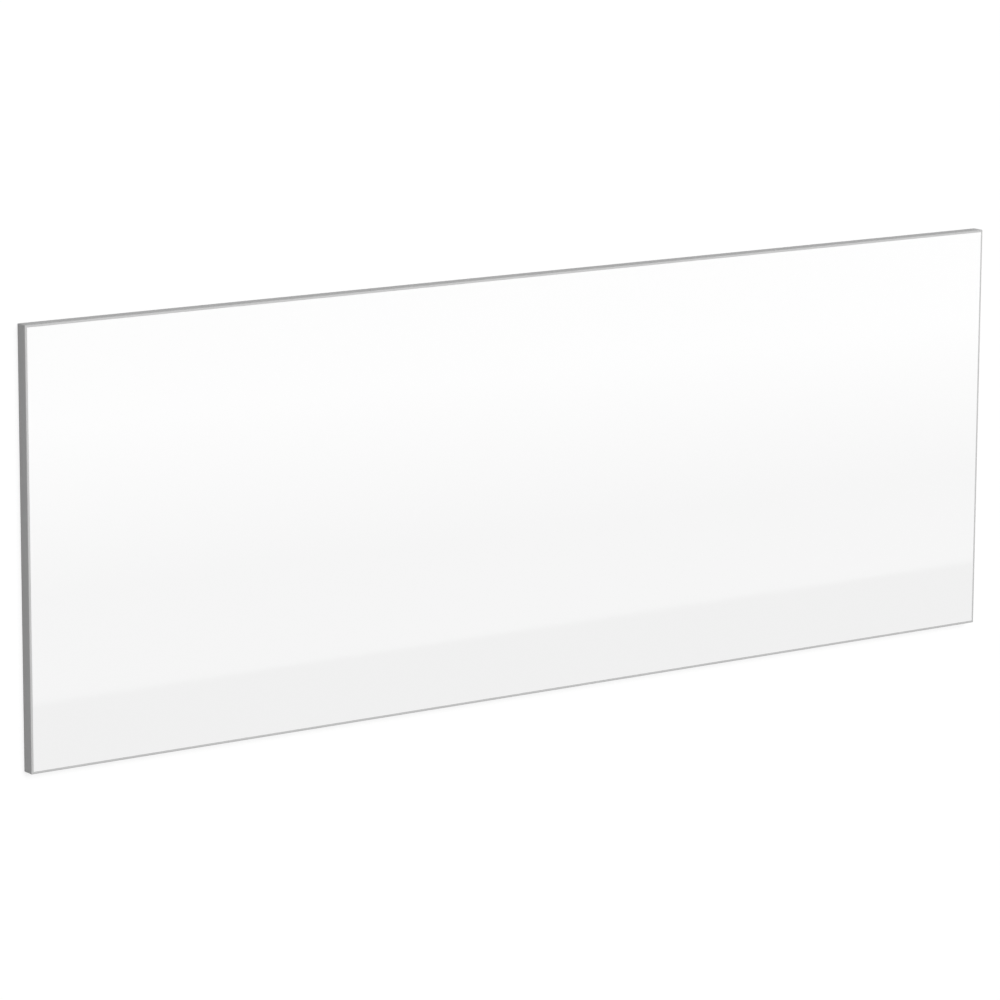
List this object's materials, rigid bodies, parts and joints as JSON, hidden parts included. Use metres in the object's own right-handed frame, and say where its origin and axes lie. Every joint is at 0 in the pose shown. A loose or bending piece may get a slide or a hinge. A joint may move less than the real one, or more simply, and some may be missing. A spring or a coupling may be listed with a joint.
{
  "type": "bath panel",
  "caption": "Flat rectangular front panel for a bath: a board with a white gloss face and satin grey edging strips, lightly radiused, flush round its edges.",
  "frame": {"origin": "centre of the back of the panel, on the ground, with the panel lying on its back", "axes": "+X along the bath, +Y towards the edge that fits under the bath rim, +Z out of the white face"},
  "size_m": [1.5, 0.55, 0.018],
  "materials": {
    "board_white": "gloss",
    "edging_grey": "satin"
  },
  "bodies": {
    "root": {"board": "board_white", "edging_top": "edging_grey", "edging_bottom": "edging_grey", "edging_left": "edging_grey", "edging_right": "edging_grey"}
  },
  "joints": []
}
